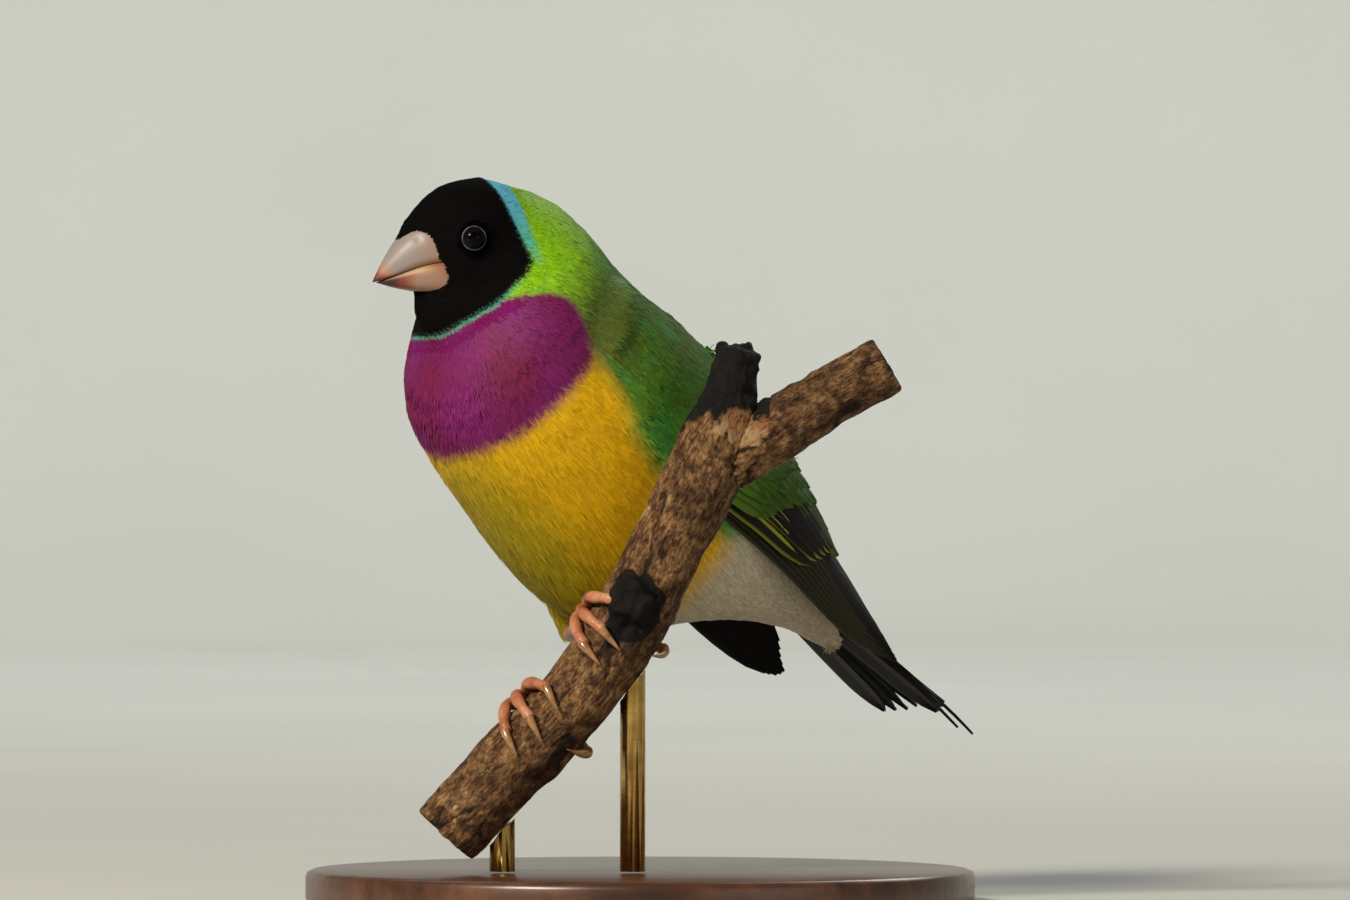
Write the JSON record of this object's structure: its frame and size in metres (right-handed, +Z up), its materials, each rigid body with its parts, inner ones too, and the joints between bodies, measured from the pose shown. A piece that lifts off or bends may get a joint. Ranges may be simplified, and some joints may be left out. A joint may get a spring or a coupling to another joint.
{
  "type": "gouldian finch",
  "caption": "Life-size still gouldian finch with black head, purple breast and yellow belly, gripping a cut branch on a plain round stand.",
  "frame": {"origin": "centre of the stand base's underside", "axes": "+Z up, +X towards the tail as the bird faces the viewer's left, +Y away from the viewer"},
  "size_m": [0.0979, 0.0969, 0.1043],
  "materials": {
    "black_feather": "soft black feathers",
    "purple_feather": "soft purple feathers",
    "yellow_feather": "soft yellow feathers",
    "green_feather": "green feathers with a slight sheen",
    "dark_feather": "blackish feathers",
    "bill_horn": "smooth pearly horn",
    "eye_gloss": "wet gloss",
    "leg_skin": "scaled flesh-coloured skin",
    "bark": "weathered bark",
    "stand_wood": "satin dark wood",
    "stand_brass": "satin brass"
  },
  "bodies": {
    "root": {"head": "black_feather", "neck": "purple_feather", "torso": "yellow_feather", "bill_upper": "bill_horn", "bill_lower": "bill_horn", "eye_left": "eye_gloss", "eye_right": "eye_gloss", "wing_left": "green_feather", "wing_right": "green_feather", "tail": "dark_feather", "leg_left": "leg_skin", "leg_right": "leg_skin", "perch_stem": "bark", "perch_side": "bark", "stand_base": "stand_wood", "stand_rod_1": "stand_brass", "stand_rod_2": "stand_brass"}
  },
  "joints": []
}
